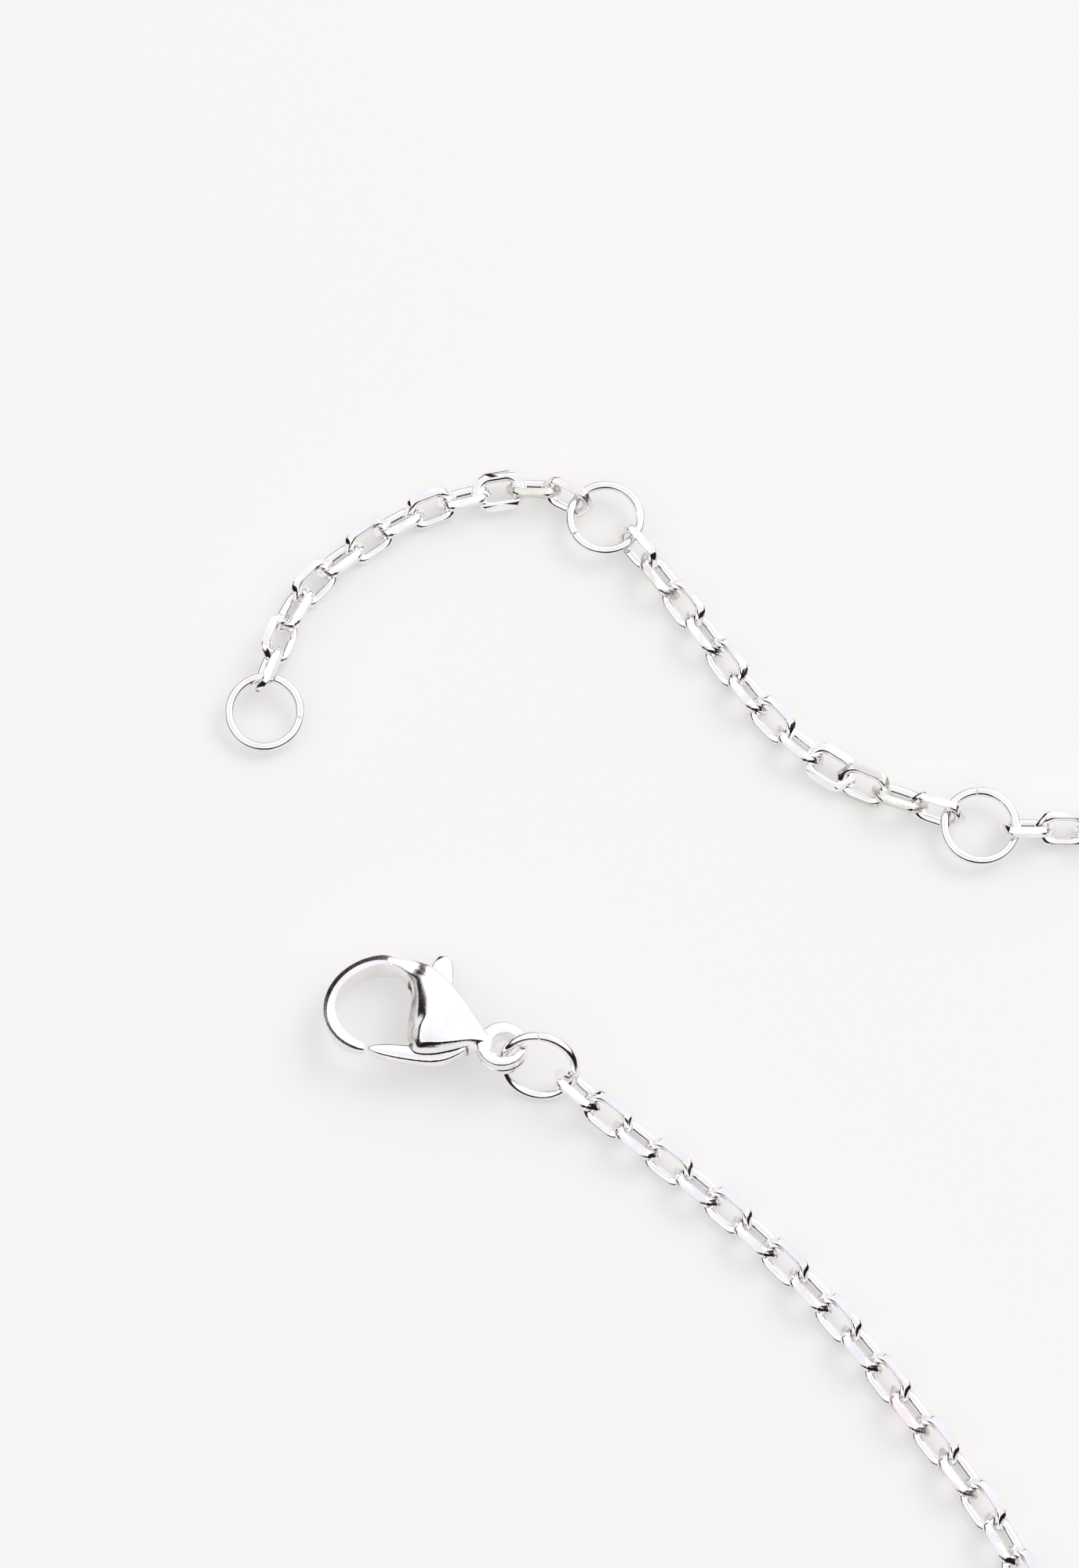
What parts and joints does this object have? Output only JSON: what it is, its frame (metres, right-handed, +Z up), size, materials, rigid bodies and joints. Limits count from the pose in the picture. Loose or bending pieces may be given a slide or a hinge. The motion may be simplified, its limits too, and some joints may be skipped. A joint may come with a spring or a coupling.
{
  "type": "necklace",
  "caption": "Fine cable chain necklace lying open and unfastened, with a sprung lobster clasp at one end and an extender of short chains between jump rings at the other",
  "frame": {"origin": "On the table, under the middle of the whole necklace's box, as it lies open", "axes": "+Z up from the table. +X runs from the clasp and extender towards the far bend of the loop, and +Y runs away from the viewer of the picture"},
  "size_m": [0.1764, 0.1284, 0.0038],
  "materials": {
    "chain_silver": "polished",
    "ring_silver": "polished",
    "clasp_silver": "polished",
    "pin_steel": "satin"
  },
  "bodies": {
    "necklace": {"clasp_body": "clasp_silver", "clasp_pin": "pin_steel", "jump_ring_clasp": "ring_silver", "jump_ring_far": "ring_silver", "jump_ring_middle": "ring_silver", "jump_ring_end": "ring_silver", "main_chain_clasp_side": "chain_silver", "main_chain_hidden": "chain_silver", "main_chain_far_side": "chain_silver", "extender_chain_outer": "chain_silver", "extender_chain_inner": "chain_silver"},
    "lever": {"clasp_lever": "clasp_silver"}
  },
  "joints": [
    {"name": "lever_pivot", "type": "hinge", "parent": "necklace", "child": "lever", "pos_m": [-0.07536, 0.02938, 0.00205], "axis": [0.0104, -0.1865, -0.9824], "range_deg": [0, 25], "stiffness_Nm_per_rad": 0.005, "springref_deg": -17.19}
  ]
}
